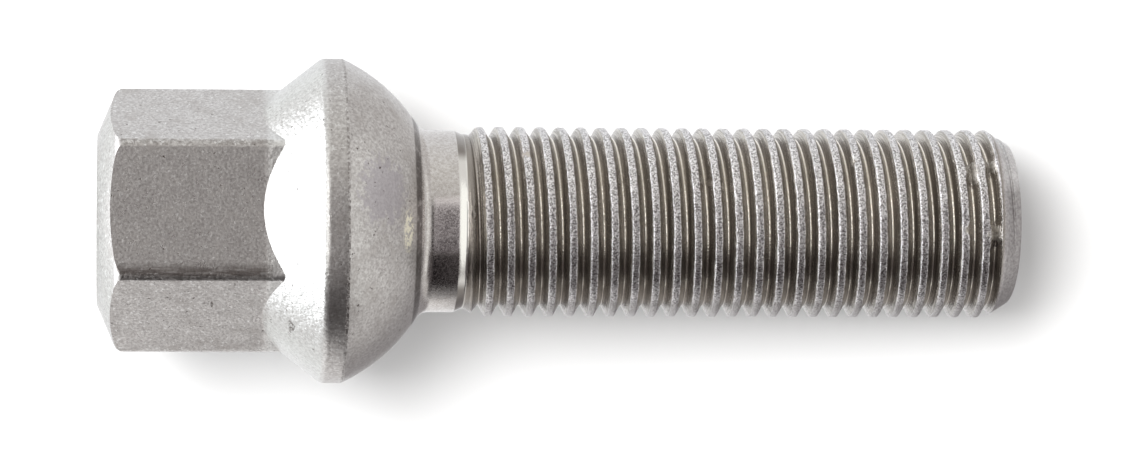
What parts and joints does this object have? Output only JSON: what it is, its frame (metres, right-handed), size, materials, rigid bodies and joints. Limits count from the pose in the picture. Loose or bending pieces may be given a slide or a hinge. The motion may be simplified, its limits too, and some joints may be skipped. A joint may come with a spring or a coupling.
{
  "type": "wheel bolt",
  "caption": "One-piece steel wheel bolt with a hexagon head, a flared rim, a ball seat, a plain neck and a fine right-hand thread.",
  "frame": {"origin": "centre of the head's flat end face, which the bolt stands on", "axes": "+Z along the bolt's axis from the head to the tip, and one flat of the hexagon faces -Y"},
  "size_m": [0.0236, 0.0236, 0.0668],
  "materials": {
    "zinc_plated_steel": "forged and thread-rolled steel with a satin zinc plating, faintly mottled, with small handling nicks"
  },
  "bodies": {
    "root": {"wheel_bolt": "zinc_plated_steel"}
  },
  "joints": []
}
